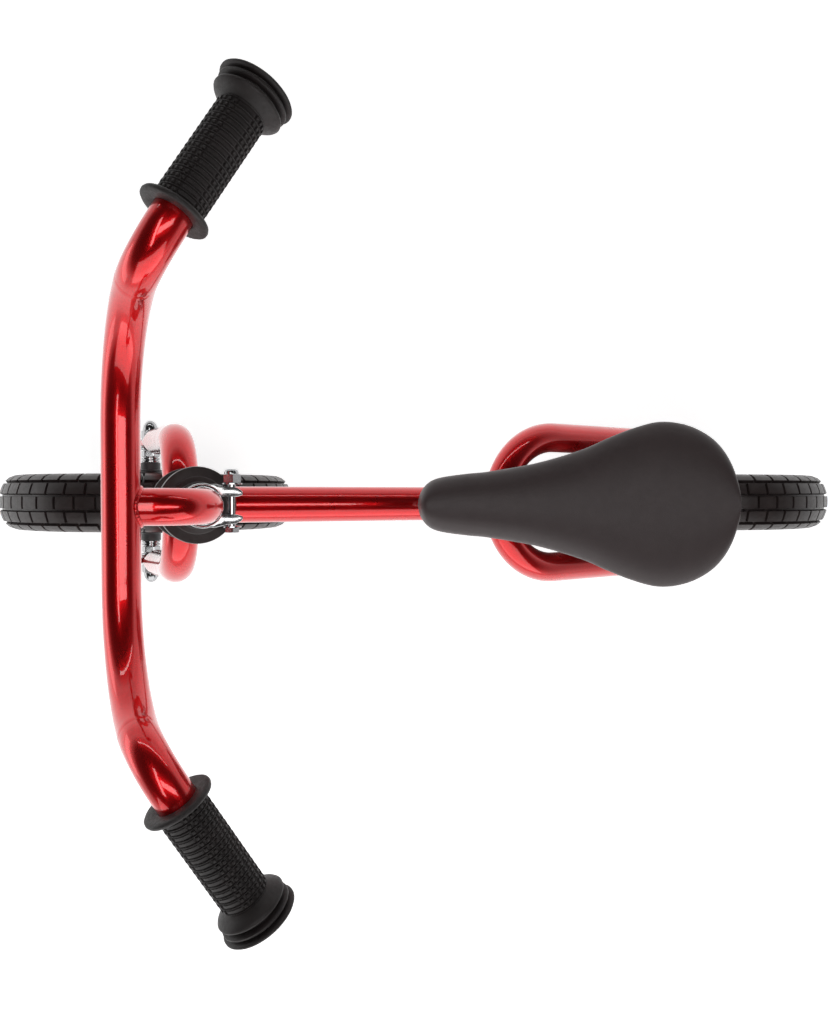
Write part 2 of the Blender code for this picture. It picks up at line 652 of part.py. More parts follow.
def make_saddle():
    dome = [(math.cos(math.pi * i / 10), math.sin(math.pi * i / 10)) for i in range(11)]
    cover_shape = [(math.copysign(abs(a) ** 0.75, a), u ** 0.6) for a, u in dome]
    cover_shape = [(a, 0.28 + 0.72 * u) for a, u in cover_shape] + [(-0.96, 0), (0.96, 0)]
    cover = []
    base = []
    nose, tail = SADDLE_OUTLINE[0][0], SADDLE_OUTLINE[-1][0]
    widest = max(half for _, half in SADDLE_OUTLINE)
    flat_shape = [(1, 1), (-1, 1), (-1, 0), (1, 0)]
    for x, half in SADDLE_OUTLINE:
        along = (nose - x) / (nose - tail)
        crown = SADDLE_NOSE_CROWN + (SADDLE_TAIL_CROWN - SADDLE_NOSE_CROWN) * along
        crown *= min(1, 0.45 + 0.55 * half / min(0.022, widest))
        cover.append(saddle_section(x, half, SADDLE_EDGE, crown, cover_shape))
        inset = x + (0.005 if along > 0.5 else -0.005) * (1 if abs(along - 0.5) > 0.4 else 0)
        base.append(saddle_section(inset, max(half - 0.005, 0.003), SADDLE_EDGE
                                   - SADDLE_BASE_THICKNESS - GAP, SADDLE_BASE_THICKNESS, flat_shape))
    finish_part(loft("saddle_cover", cover), "saddle_cover")
    finish_part(loft("saddle_base", base), "black_plastic")


def rail_path(clamp):
    """The saddle rail: one wire, bent round at the nose, straight where it is clamped."""
    rail_z = clamp.z + 0.009
    top = SADDLE_EDGE - SADDLE_BASE_THICKNESS - 2 * GAP - 0.0035
    left = [Vector((-0.200, 0.034, top)), Vector((-0.165, 0.0226, rail_z)),
            Vector((-0.085, 0.0226, rail_z)), Vector((-0.030, 0.0120, top)),
            Vector((0.004, 0.0090, top))]
    right = [Vector((point.x, -point.y, point.z)) for point in reversed(left)]
    return rounded_path(left + right, (0.020, 0.020, 0.020, 0.0080, 0.0080, 0.020, 0.020, 0.020),
                        step=math.radians(20))


def make_seat_post():
    up = Vector((-math.sin(SEAT_ANGLE), 0, math.cos(SEAT_ANGLE)))
    clamp = SEAT_TUBE_FOOT + up * SADDLE_CLAMP_HEIGHT
    core_radius, core_half = 0.016, 0.0175
    socket_top = SADDLE_CLAMP_HEIGHT - 0.0062
    post = ring("seat_post", SEAT_POST_RADIUS - 0.002, SEAT_POST_RADIUS, 0.008, socket_top - GAP)
    finish_part(post, "chrome", SEAT_LINE)
    across = (-math.pi / 2, 0, 0)
    bolt_radius = 0.004

    core = ring("seat_clamp_core", bolt_radius + GAP, core_radius, -core_half, core_half)
    finish_part(core, "chrome", None, clamp, across)
    socket = rod("core_socket", SEAT_POST_RADIUS + GAP, 0.05, socket_top, 24)
    boolean(core, make_cutter(socket, SEAT_LINE))

    rails = rail_path(clamp)
    rail_cutter = make_cutter(tube("rail_cutter", rails, 0.0035 + GAP, sides=12))
    finish_part(tube("saddle_rail", rails, 0.0035, sides=8), "chrome")
    for side, sign in SIDES:
        low, high = core_half + GAP, 0.0278
        jaw = ring(f"saddle_clamp_jaw_{side}", bolt_radius + GAP, core_radius, low, high)
        finish_part(jaw, "chrome", None, clamp, (-math.pi / 2 * sign, 0, 0))
        boolean(jaw, rail_cutter)

    bolt = plate("saddle_clamp_bolt", [hexagon(0.012)], 0.0281, 0.0330)
    shank = make_cutter(rod("saddle_clamp_shank", bolt_radius, -0.0330, 0.0285, 12), bolt)
    boolean(bolt, shank, "UNION")
    finish_part(bolt, "chrome", None, clamp, across)
    nut = hex_ring("saddle_clamp_nut", 0.012, bolt_radius + GAP, -0.0345, -0.0281)
    finish_part(nut, "chrome", None, clamp, across)


make_wheel("front", FRONT_AXLE_LINE)
make_wheel("rear", REAR_AXLE_LINE)
make_axle("front", FRONT_AXLE_LINE)
make_axle("rear", REAR_AXLE_LINE)
make_fork()
make_headset()
make_stem_clamp()
make_handlebar()
make_frame()
make_seat_collar()
make_seat_post()
make_saddle()
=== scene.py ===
"""Looks for the child's balance bike: fine meshes, materials, floor, light and camera."""

import json
import math

import bmesh
import bpy
from mathutils import Matrix, Vector


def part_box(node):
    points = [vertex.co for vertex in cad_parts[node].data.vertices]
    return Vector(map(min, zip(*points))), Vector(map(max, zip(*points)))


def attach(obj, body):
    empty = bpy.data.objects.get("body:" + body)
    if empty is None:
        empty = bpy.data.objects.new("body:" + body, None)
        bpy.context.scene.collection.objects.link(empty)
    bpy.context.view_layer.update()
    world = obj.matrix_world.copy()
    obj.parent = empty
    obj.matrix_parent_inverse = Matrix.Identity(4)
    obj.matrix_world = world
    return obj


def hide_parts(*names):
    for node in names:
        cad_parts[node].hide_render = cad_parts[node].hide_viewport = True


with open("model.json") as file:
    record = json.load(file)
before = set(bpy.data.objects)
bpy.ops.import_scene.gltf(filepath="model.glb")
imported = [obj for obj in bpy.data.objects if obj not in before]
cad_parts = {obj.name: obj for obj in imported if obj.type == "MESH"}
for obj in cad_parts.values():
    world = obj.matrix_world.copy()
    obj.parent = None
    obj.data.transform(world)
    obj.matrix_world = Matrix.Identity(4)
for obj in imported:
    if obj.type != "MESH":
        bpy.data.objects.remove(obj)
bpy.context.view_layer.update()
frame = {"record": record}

# ---- places, from the frame -----------------------------------------------------------------
JOINTS = {joint["name"]: joint for joint in frame["record"]["behaviour"]["joints"]}


def joint_point(name):
    return Vector(JOINTS[name]["pos_m"])


def joint_axis(name):
    return Vector(JOINTS[name]["axis"]).normalized()


def axes_matrix(origin, up, forward=(1, 0, 0)):
    """A place whose local Z runs along up and whose local X leans towards forward."""
    z = Vector(up).normalized()
    x = Vector(forward) - z * Vector(forward).dot(z)
    x.normalize()
    y = z.cross(x)
    place = Matrix((x, y, z)).transposed().to_4x4()
    place.translation = origin
    return place


STEERING = axes_matrix(joint_point("steering_turn"), joint_axis("steering_turn"))
FRONT_AXLE = joint_point("front_wheel_spin")
REAR_AXLE = joint_point("rear_wheel_spin")
SIDES = (("left", 1), ("right", -1))


# ---- sizes, in metres -----------------------------------------------------------------------
FIT = 0.0003              # air left between two pieces that fit together

BAR_RADIUS = 0.0127
BAR_CENTRE = Vector((0.233, 0, 0.5175))
BAR_RISE_START = Vector((0.233, 0.119, 0.5175))
BAR_BENDS = (0.090, 0.0360)
BAR_RISE_END_INBOARD = 0.030
BAR_END_INSIDE_GRIP = 0.012
GRIP_START = Vector((0.1848, 0.1696, 0.5980))
GRIP_END = Vector((0.1375, 0.2512, 0.5770))
STEM_BOTTOM = -0.055
STEM_BEND = 0.030
STEM_END = Vector((0.2275, 0, 0.5115))

HEAD_RADIUS = 0.019
HEAD_TOP, HEAD_BOTTOM = -0.0033, -0.0637
STEERER_RADIUS = 0.0143
CROWN_HEIGHT = -0.0868
FORK_RADIUS = 0.015
FORK_END_RADIUS = 0.0124
FORK_HALF_WIDTH = 0.056
FORK_SPLAY = 0.005
FORK_LEAD = 0.003
FORK_END_HEIGHT = -0.272
CLAMP_HEIGHT = 0.024
CLAMP_BOLT_AT = 0.022

MAIN_RADIUS = 0.0143
MAIN_FRONT = Vector((0.2020, 0, 0.4075))
MAIN_OVER_LOOP = Vector((-0.057, 0, 0.3276))
LOOP_RADIUS = 0.014
LOOP_HALF_WIDTH = 0.062
LOOP_BEND_LENGTH = 0.070
LOOP_FRONT = Vector((-0.057, 0, 0.297))
LOOP_END_DISTANCE = 0.026
SEAT_UP = joint_axis("saddle_height")
SEAT_FOOT = Vector((-0.0715, 0, 0.255))
SEAT_TUBE_RADIUS = 0.0159
SEAT_TUBE_LENGTH = 0.104
SEAT_LINE = axes_matrix(SEAT_FOOT, SEAT_UP)
POST_RADIUS = 0.0127

TYRE_RADIUS = 0.146
DROPOUT_INNER = 0.0575
DROPOUT_THICKNESS = 0.005
AXLE_RADIUS = 0.00475
AXLE_HALF = 0.080


# ---- mesh helpers ---------------------------------------------------------------------------
def grid_mesh(name, rows, close_rows=False, close_columns=True, cap=False):
    """A skin over rows of points; poles and doubled points are welded."""
    work = bmesh.new()
    verts = [[work.verts.new(point) for point in row] for row in rows]
    count = len(rows[0])
    row_pairs = list(zip(verts, verts[1:]))
    if close_rows:
        row_pairs.append((verts[-1], verts[0]))
    for row_a, row_b in row_pairs:
        for i in range(count if close_columns else count - 1):
            j = (i + 1) % count
            work.faces.new((row_a[i], row_a[j], row_b[j], row_b[i]))
    if cap:
        work.faces.new(verts[0])
        work.faces.new(verts[-1])
    bmesh.ops.remove_doubles(work, verts=work.verts, dist=1e-7)
    bmesh.ops.recalc_face_normals(work, faces=work.faces)
    mesh = bpy.data.meshes.new(name)
    work.to_mesh(mesh)
    work.free()
    return mesh


def add_piece(name, mesh, material, body, nodes=(), angle=35):
    """Link a mesh as a piece that rides on a body and stands for CAD nodes."""
    mesh.shade_smooth()
    mesh.set_sharp_from_angle(angle=math.radians(angle))
    piece = bpy.data.objects.new(name, mesh)
    bpy.context.scene.collection.objects.link(piece)
    mesh.materials.append(material)
    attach(piece, body)
    if nodes:
        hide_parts(*nodes)
    return piece


def join_meshes(name, meshes):
    """One mesh from several closed ones."""
    work = bmesh.new()
    for mesh in meshes:
        work.from_mesh(mesh)
        bpy.data.meshes.remove(mesh)
    joined = bpy.data.meshes.new(name)
    work.to_mesh(joined)
    work.free()
    return joined


def turned_mesh(name, place, rows, steps=64, ring=False):
    """A solid about local Z from (radius, height) rows; a radius may be a function of angle."""
    points = []
    for radius, height in rows:
        row = []
        for i in range(steps):
            angle = 2 * math.pi * i / steps
            size = radius(angle) if callable(radius) else radius
            row.append(place @ Vector((size * math.cos(angle), size * math.sin(angle), height)))
        points.append(row)
    return grid_mesh(name, points, close_rows=ring)


def soften(outline, radius, count=3, closed=True):
    """Round the corners of a flat outline."""
    result = []
    total = len(outline)
    for i, corner in enumerate(outline):
        if not closed and i in (0, total - 1):
            result.append(tuple(corner))
            continue
        here = Vector(corner)
        before = Vector(outline[i - 1]) - here
        after = Vector(outline[(i + 1) % total]) - here
        reach = min(radius, before.length * 0.45, after.length * 0.45)
        start = here + before.normalized() * reach
        end = here + after.normalized() * reach
        for k in range(count + 1):
            t = k / count
            point = start * (1 - t) ** 2 + here * 2 * t * (1 - t) + end * t ** 2
            result.append(tuple(point))
    return result


def rounded_path(corners, bend_radii, step=math.radians(3)):
    """A path through corners, each inner corner rounded by an arc."""
    path = [Vector(corners[0])]
    for before, corner, after, radius in zip(corners, corners[1:], corners[2:], bend_radii):
        to_start = (Vector(before) - corner).normalized()
        to_end = (Vector(after) - corner).normalized()
        opening = to_start.angle(to_end)
        turn = math.pi - opening
        middle = corner + (to_start + to_end).normalized() * radius / math.sin(opening / 2)
        first = corner + to_start * radius / math.tan(opening / 2) - middle
        last = corner + to_end * radius / math.tan(opening / 2) - middle
        across = (last - first * math.cos(turn)) / math.sin(turn)
        count = max(4, round(turn / step))
        for i in range(count + 1):
            angle = turn * i / count
            path.append(middle + first * math.cos(angle) + across * math.sin(angle))
    path.append(Vector(corners[-1]))
    return path


def swept_mesh(name, path, radius, reference, sides=48, cap=True):
    """A tube along a path. radius may be a function of the point's number, giving the radii
    along the reference direction and across it."""
    rows = []
    for i, point in enumerate(path):
        tangent = (path[min(i + 1, len(path) - 1)] - path[max(i - 1, 0)]).normalized()
        first = (Vector(reference) - tangent * Vector(reference).dot(tangent)).normalized()
        second = tangent.cross(first)
        a, b = radius(i) if callable(radius) else (radius, radius)
        rows.append([point + first * a * math.cos(2 * math.pi * k / sides)
                     + second * b * math.sin(2 * math.pi * k / sides) for k in range(sides)])
    return grid_mesh(name, rows, cap=cap)


def straight_tube(name, start, end, radius, sides=64):
    direction = (end - start).normalized()
    reference = (0, 1, 0) if abs(direction.y) < 0.9 else (1, 0, 0)
    return swept_mesh(name, [start, end], radius, reference, sides)


def extruded_mesh(name, place, outline, low, high, bevel, segments=2):
    """A flat outline made solid, with rounded rims."""
    work = bmesh.new()
    bottom = [work.verts.new((x, y, low)) for x, y in outline]
    top = [work.verts.new((x, y, high)) for x, y in outline]
    count = len(outline)
    for i in range(count):
        j = (i + 1) % count
        work.faces.new((bottom[i], bottom[j], top[j], top[i]))
    lids = [work.faces.new(bottom), work.faces.new(top)]
    bmesh.ops.recalc_face_normals(work, faces=work.faces)
    rims = [edge for lid in lids for edge in lid.edges]
    bmesh.ops.bevel(work, geom=rims, offset=bevel, segments=segments, affect="EDGES", profile=0.5)
    lids = [face for face in work.faces if len(face.verts) > 4]
    bmesh.ops.triangulate(work, faces=lids)
    mesh = bpy.data.meshes.new(name)
    work.to_mesh(mesh)
    work.free()
    mesh.transform(place)
    return mesh


def arc(middle, radius, start, end, count):
    angles = [start + (end - start) * i / count for i in range(count + 1)]
    return [(middle[0] + radius * math.cos(a), middle[1] + radius * math.sin(a)) for a in angles]


def hexagon_radius(across_flats):
    """The distance from a hexagon's middle to its edge, as a function of angle."""
    def radius(angle):
        return across_flats / 2 / math.cos((angle % (math.pi / 3)) - math.pi / 6)
    return radius


def hex_rows(across_flats, low, high, chamfer):
    """A hexagon with the usual round chamfer at both ends."""
    edge = hexagon_radius(across_flats)
    inscribed = across_flats / 2 * 0.985

    def cut(depth):
        return lambda angle: min(edge(angle), inscribed + depth / 0.45)

    steps = [0, 0.35 * chamfer, 0.7 * chamfer, chamfer]
    rows = [(cut(step), high - step) for step in steps]
    rows += [(cut(step), low + step) for step in reversed(steps)]
    return rows


def tube_meeting(point_a, direction_a, radius_a, point_b, direction_b, radius_b, count=72,
                 limit=None):
    """The closed curve where tube A, coming along direction_a, meets the outside of tube B."""
    a = direction_a.normalized()
    b = direction_b.normalized()
    u = a.orthogonal().normalized()
    v = a.cross(u)
    curve = []
    for i in range(count):
        angle = 2 * math.pi * i / count
        start = point_a + (u * math.cos(angle) + v * math.sin(angle)) * radius_a
        offset = start - point_b
        across_ray = a - b * a.dot(b)
        across_offset = offset - b * offset.dot(b)
        qa = across_ray.length_squared
        qb = 2 * across_ray.dot(across_offset)
        qc = across_offset.length_squared - radius_b ** 2
        inside = max(qb * qb - 4 * qa * qc, 0)
        distance = (-qb - math.sqrt(inside)) / (2 * qa)
        point = start + a * distance
        if limit is not None:
            point.x = min(point.x, limit)
        curve.append(point)
    return curve


WELD_RIPPLE = 0.10            # how much a ripple swells the bead, as a share of its radius
WELD_RIPPLE_LENGTH = 0.0022
WELD_SIDES = 12
WELD_SPLIT = 4


def weld_mesh(name, curve, radius):
    """A weld bead along a closed curve, with the small overlapping ripples of a hand weld."""
    dense = [start.lerp(end, k / WELD_SPLIT) for start, end in zip(curve, curve[1:] + curve[:1])
             for k in range(WELD_SPLIT)]
    rows = []
    travelled = 0
    first = None
    for i, point in enumerate(dense):
        after = dense[(i + 1) % len(dense)]
        tangent = (after - dense[i - 1]).normalized()
        if first is None:
            first = tangent.orthogonal().normalized()
        else:
            first = (first - tangent * first.dot(tangent)).normalized()
        second = tangent.cross(first)
        travelled += (after - point).length
        size = radius * (1 + WELD_RIPPLE * abs(math.sin(travelled * math.pi / WELD_RIPPLE_LENGTH)))
        rows.append([point + (first * math.cos(2 * math.pi * k / WELD_SIDES)
                              + second * math.sin(2 * math.pi * k / WELD_SIDES)) * size
                     for k in range(WELD_SIDES)])
    return grid_mesh(name, rows, close_rows=True)


# ---- materials ------------------------------------------------------------------------------
def new_material(name):
    material = bpy.data.materials.new(name)
    material.use_nodes = True
    nodes = material.node_tree.nodes
    return material, nodes, material.node_tree.links, nodes["Principled BSDF"]


def noise_node(nodes, links, coordinates, scale, detail=3.0):
    texture = nodes.new("ShaderNodeTexNoise")
    texture.inputs["Scale"].default_value = scale
    texture.inputs["Detail"].default_value = detail
    texture.inputs["Roughness"].default_value = 0.5
    links.new(coordinates.outputs["Object"], texture.inputs["Vector"])
    return texture


def mixed_colour(nodes, links, factor, low, high, start=0.35, end=0.65):
    ramp = nodes.new("ShaderNodeValToRGB")
    ramp.color_ramp.elements[0].position = start
    ramp.color_ramp.elements[1].position = end
    ramp.color_ramp.elements[0].color = (*low, 1)
    ramp.color_ramp.elements[1].color = (*high, 1)
    links.new(factor, ramp.inputs["Fac"])
    return ramp.outputs["Color"]


def mapped(nodes, links, factor, low, high):
    node = nodes.new("ShaderNodeMapRange")
    node.inputs["From Min"].default_value = 0.3
    node.inputs["From Max"].default_value = 0.7
    node.inputs["To Min"].default_value = low
    node.inputs["To Max"].default_value = high
    links.new(factor, node.inputs["Value"])
    return node.outputs["Result"]


def bump_from(nodes, links, height, strength, distance, under=None):
    bump = nodes.new("ShaderNodeBump")
    bump.inputs["Strength"].default_value = strength
    bump.inputs["Distance"].default_value = distance
    links.new(height, bump.inputs["Height"])
    if under:
        links.new(under, bump.inputs["Normal"])
    return bump.outputs["Normal"]


def candy_paint():
    """Translucent red over metallic flake, under clear lacquer with a faint orange peel."""
    material, nodes, links, shader = new_material("candy_red_paint")
    place = nodes.new("ShaderNodeTexCoord")
    flake = nodes.new("ShaderNodeTexVoronoi")
    flake.inputs["Scale"].default_value = 3200
    links.new(place.outputs["Object"], flake.inputs["Vector"])
    links.new(mixed_colour(nodes, links, flake.outputs["Color"], (0.50, 0.0010, 0.0025),
                           (0.72, 0.0025, 0.0060), 0.2, 0.8), shader.inputs["Base Color"])
    drift = noise_node(nodes, links, place, 45)
    links.new(mapped(nodes, links, drift.outputs["Fac"], 0.26, 0.34), shader.inputs["Roughness"])
    peel = noise_node(nodes, links, place, 420, 2.0)
    links.new(bump_from(nodes, links, peel.outputs["Fac"], 0.10, 0.0002),
              shader.inputs["Coat Normal"])
    shader.inputs["Metallic"].default_value = 0.88
    shader.inputs["Coat Weight"].default_value = 1.0
    shader.inputs["Coat Roughness"].default_value = 0.035
    shader.inputs["Coat IOR"].default_value = 1.55
    return material


def plated_steel(name, colour, roughness, spread):
    material, nodes, links, shader = new_material(name)
    place = nodes.new("ShaderNodeTexCoord")
    cloud = noise_node(nodes, links, place, 140, 4.0)
    dim = tuple(channel * 0.86 for channel in colour)
    links.new(mixed_colour(nodes, links, cloud.outputs["Fac"], dim, colour),
              shader.inputs["Base Color"])
    links.new(mapped(nodes, links, cloud.outputs["Fac"], roughness, roughness + spread),
              shader.inputs["Roughness"])
    pits = noise_node(nodes, links, place, 900, 2.0)
    links.new(bump_from(nodes, links, pits.outputs["Fac"], 0.12, 0.0002), shader.inputs["Normal"])
    shader.inputs["Metallic"].default_value = 1.0
    return material


def moulded(name, low, high, rough_low, rough_high, grain_scale, grain_depth, specular=0.5,
            sheen=0.0):
    """Moulded plastic, rubber or foam skin: soft mottling and a fine mould grain."""
    material, nodes, links, shader = new_material(name)
    place = nodes.new("ShaderNodeTexCoord")
    cloud = noise_node(nodes, links, place, 60, 4.0)
    links.new(mixed_colour(nodes, links, cloud.outputs["Fac"], low, high),
              shader.inputs["Base Color"])
    fine = noise_node(nodes, links, place, grain_scale / 6)
    links.new(mapped(nodes, links, fine.outputs["Fac"], rough_low, rough_high),
              shader.inputs["Roughness"])
    grain = nodes.new("ShaderNodeTexVoronoi")
    grain.inputs["Scale"].default_value = grain_scale
    links.new(place.outputs["Object"], grain.inputs["Vector"])
    under = bump_from(nodes, links, cloud.outputs["Fac"], 0.15, 0.0004)
    links.new(bump_from(nodes, links, grain.outputs["Distance"], 0.5, grain_depth, under),
              shader.inputs["Normal"])
    shader.inputs["Specular IOR Level"].default_value = specular
    shader.inputs["Sheen Weight"].default_value = sheen
    shader.inputs["Sheen Roughness"].default_value = 0.4
    return material


PAINT = candy_paint()
CHROME = plated_steel("bright_plating", (0.50, 0.50, 0.51), 0.12, 0.10)
CAST = plated_steel("cast_clamp_metal", (0.74, 0.74, 0.75), 0.18, 0.12)
PLASTIC = moulded("black_satin_plastic", (0.024, 0.0175, 0.0170), (0.034, 0.0255, 0.0250),
                  0.30, 0.40, 2600, 0.00008)
GREY = moulded("grey_plastic", (0.060, 0.062, 0.065), (0.085, 0.088, 0.090),
               0.38, 0.50, 2600, 0.00008)
GRIP = moulded("grip_rubber", (0.0110, 0.0080, 0.0078), (0.0175, 0.0128, 0.0125),
               0.44, 0.60, 3000, 0.00010, 0.40, 0.03)
TYRE = moulded("tyre_rubber", (0.022, 0.0155, 0.0150), (0.034, 0.0245, 0.0235),
               0.28, 0.44, 2200, 0.00008)
SADDLE = moulded("saddle_skin", (0.0450, 0.0320, 0.0325), (0.0490, 0.0350, 0.0355),
                 0.42, 0.50, 1900, 0.00010, 0.42, 0.06)


def dress(node, material):
    """Give a CAD node that stays visible its material."""
    thing = bpy.data.objects[node]
    thing.data.materials.clear()
    thing.data.materials.append(material)


# ---- handlebar and grips --------------------------------------------------------------------
def mirrored(path):
    return [Vector((point.x, -point.y, point.z)) for point in path]


def make_handlebar():
    grip_line = (GRIP_END - GRIP_START).normalized()
    rise_end = GRIP_START - grip_line * BAR_RISE_END_INBOARD
    bar_end = GRIP_END - grip_line * BAR_END_INSIDE_GRIP
    left = rounded_path([BAR_CENTRE, BAR_RISE_START, rise_end, bar_end], BAR_BENDS)[1:]
    path = mirrored(left)[::-1] + left
    add_piece("handlebar_tube", swept_mesh("handlebar_tube", path, BAR_RADIUS, (1, 0, 0.3), 64),
              PAINT, "bars", ["handlebar"])

    bottom = STEERING @ Vector((0, 0, STEM_BOTTOM))
    origin = STEERING.translation
    up = STEERING.col[2].to_3d()
    corner = origin + up * ((STEM_END.z - origin.z) / up.z)
    path = rounded_path([bottom, corner, STEM_END], (STEM_BEND,))
    add_piece("stem_tube", swept_mesh("stem_tube", path, BAR_RADIUS, (0, 1, 0), 64),
              PAINT, "bars", ["handlebar_stem"])
    seam = tube_meeting(STEM_END - Vector((0.05, 0, 0)), Vector((1, 0, 0)), BAR_RADIUS,
                        BAR_CENTRE, Vector((0, 1, 0)), BAR_RADIUS, limit=STEM_END.x)
    add_piece("stem_weld", weld_mesh("stem_weld", seam, 0.0016), PAINT, "bars")


GRIP_PITCH = 0.00445
GRIP_ROWS = 16
GRIP_COLUMNS = 24
GRIP_BODY = 0.0148
GRIP_BODY_START = 0.0060
KNOB_HEIGHT = 0.0011
KNOB_STEPS = 8


def knob_radius(angle, height):
    """Knobs round the grip, but for one smooth panel along each side of it."""
    cell = angle * GRIP_COLUMNS / (2 * math.pi)
    number, across = int(cell + 1e-6) % GRIP_COLUMNS, (cell + 1e-6) % 1
    if number % (GRIP_COLUMNS // 2) in (0, 1, 2):
        return GRIP_BODY + min(height, 0.0005)
    return GRIP_BODY + (height if 0.2 < across < 0.7 else 0)


def grip_rows(length):
    """Radius rows of a grip, from its closed outer end back to the bore."""
    rows = [(0.0, length), (0.0120, length), (0.0221, length - 0.0003), (0.0237, length - 0.0013),
            (0.0246, length - 0.0023), (0.0246, length - 0.0031), (0.0238, length - 0.0038),
            (0.0200, length - 0.0042), (0.0196, length - 0.0054), (0.0222, length - 0.0058),
            (0.0230, length - 0.0066), (0.0230, length - 0.0076), (0.0220, length - 0.0084),
            (0.0186, length - 0.0088), (0.0182, length - 0.0106), (0.0216, length - 0.0112),
            (0.0226, length - 0.0120), (0.0228, length - 0.0130), (0.0220, length - 0.0142),
            (0.0200, length - 0.0160), (0.0176, length - 0.0176), (0.0160, length - 0.0188),
            (0.0150, length - 0.0196)]
    top = GRIP_BODY_START + GRIP_PITCH * GRIP_ROWS
    for row in range(GRIP_ROWS):
        base = top - GRIP_PITCH * row
        line = [(0.0148, 0.02), (0.0155, 0.06), (0.0157, 0.12), (0.0155, 0.18), (0.0148, 0.22)]
        rows += [(radius, base - GRIP_PITCH * at) for radius, at in line]
        for share, at in ((0.0, 0.32), (0.9, 0.38), (1.0, 0.50), (1.0, 0.66), (0.9, 0.80),
                          (0.0, 0.86)):
            height = share * KNOB_HEIGHT
            rows.append((lambda angle, h=height: knob_radius(angle, h), base - GRIP_PITCH * at))
    rows += [(0.0150, 0.0056), (0.0162, 0.0046), (0.0200, 0.0038), (0.0216, 0.0032),
             (0.0221, 0.0020), (0.0219, 0.0008), (0.0210, 0.0001), (0.0185, 0.0), (0.0145, 0.0),
             (0.0129, 0.0004), (0.0129, 0.008), (0.0, 0.008)]
    return rows


def make_grips():
    for side, sign in SIDES:
        start = Vector((GRIP_START.x, sign * GRIP_START.y, GRIP_START.z))
        end = Vector((GRIP_END.x, sign * GRIP_END.y, GRIP_END.z))
        place = axes_matrix(start, end - start, (0, 0, 1))
        mesh = turned_mesh(f"grip_rubber_{side}", place, grip_rows((end - start).length),
                           GRIP_COLUMNS * KNOB_STEPS)
        add_piece(f"grip_rubber_{side}", mesh, GRIP, "bars", [f"grip_{side}"], 50)


# ---- headset, stem clamp and fork -----------------------------------------------------------
def make_headset():
    bore = STEERER_RADIUS + FIT
    upper = soften([(0.0172, 0.0130), (0.0175, 0.0052), (0.0215, 0.0040), (0.0218, 0.0032),
                    (0.0290, 0.0024), (0.0295, -0.0026), (0.0285, -0.0030), (0.0165, -0.0030),
                    (0.0165, -0.0150), (bore, -0.0150), (bore, 0.0130)], 0.0006)
    add_piece("bushing_upper", turned_mesh("bushing_upper", STEERING, upper, 96, ring=True),
              PLASTIC, "frame", ["headset_bushing_upper"])
    top = HEAD_BOTTOM - FIT
    lower = soften([(0.0165, top + 0.0120), (0.0165, top), (0.0285, top), (0.0295, top - 0.0008),
                    (0.0295, top - 0.0052), (0.0285, top - 0.0060), (bore, top - 0.0060),
                    (bore, top + 0.0120)], 0.0006)
    add_piece("bushing_lower", turned_mesh("bushing_lower", STEERING, lower, 96, ring=True),
              PLASTIC, "frame", ["headset_bushing_lower"])
    tube = soften([(HEAD_RADIUS, HEAD_TOP), (HEAD_RADIUS, HEAD_BOTTOM), (0.0172, HEAD_BOTTOM),
                   (0.0172, HEAD_TOP)], 0.0005)
    add_piece("head_tube_shell", turned_mesh("head_tube_shell", STEERING, tube, 96, ring=True),
              PAINT, "frame", ["head_tube"])
    steerer = soften([(STEERER_RADIUS, 0.034), (STEERER_RADIUS, CROWN_HEIGHT + 0.010),
                      (0.0131, CROWN_HEIGHT + 0.010), (0.0131, 0.034)], 0.0004)
    add_piece("steerer", turned_mesh("steerer", STEERING, steerer, 64, ring=True), CHROME,
              "steering", ["steerer_tube"])


def make_stem_clamp():
    """A split clamp with two thick ears, its bolt and its domed nut."""
    bore, outer = STEERER_RADIUS + FIT, 0.0164
    slot = math.asin(0.0066 / bore)
    root = math.asin(0.0156 / outer)
    outline = arc((0, 0), outer, -math.pi + root, math.pi - root, 60)
    ear = [(-0.0090, 0.0158), (-0.0170, 0.0140), (-0.0245, 0.0132), (-0.0288, 0.0105),
           (-0.0290, 0.0078), (-0.0250, 0.0066)]
    outline += soften(ear, 0.0016, closed=False)
    outline += arc((0, 0), bore, math.pi - slot, -math.pi + slot, 60)
    outline += soften([(x, -y) for x, y in reversed(ear)], 0.0016, closed=False)
    place = STEERING @ Matrix.Translation((0, 0, CLAMP_HEIGHT))
    band = extruded_mesh("clamp_band", place, outline, -0.0094, 0.0094, 0.0008)
    add_piece("clamp_band", band, CAST, "steering", ["stem_clamp"])

    across = STEERING.col[1].to_3d()
    line = STEERING @ Vector((-CLAMP_BOLT_AT, 0, CLAMP_HEIGHT))
    corner_up = Matrix.Rotation(math.pi / 6, 4, "Z")
    head_place = axes_matrix(line, across, STEERING.col[0].to_3d()) @ corner_up
    rows = [(0.0, -0.0225), (0.0030, -0.0225), (0.0030, 0.0150), (0.0070, 0.0153), (0.0070, 0.0162)]
    rows += hex_rows(0.0100, 0.0163, 0.0200, 0.0005)[::-1]
    rows += [(0.0032, 0.0200), (0.0028, 0.0194), (0.0, 0.0194)]
    add_piece("clamp_bolt", turned_mesh("clamp_bolt", head_place, rows, 48), CHROME,
              "steering", ["stem_clamp_bolt"])
    nut_place = axes_matrix(line, -across, STEERING.col[0].to_3d()) @ corner_up
    rows = [(0.0032, 0.0155), (0.0078, 0.0156), (0.0078, 0.0165)]
    rows += hex_rows(0.0127, 0.0166, 0.0232, 0.0008)[::-1]
    rows += [(0.0054, 0.0234), (0.0054, 0.0246), (0.0050, 0.0258), (0.0040, 0.0267),
             (0.0024, 0.0270), (0.0, 0.0271)]
    add_piece("clamp_nut", turned_mesh("clamp_nut", nut_place, rows, 48), CHROME,
              "steering", ["stem_clamp_nut"])


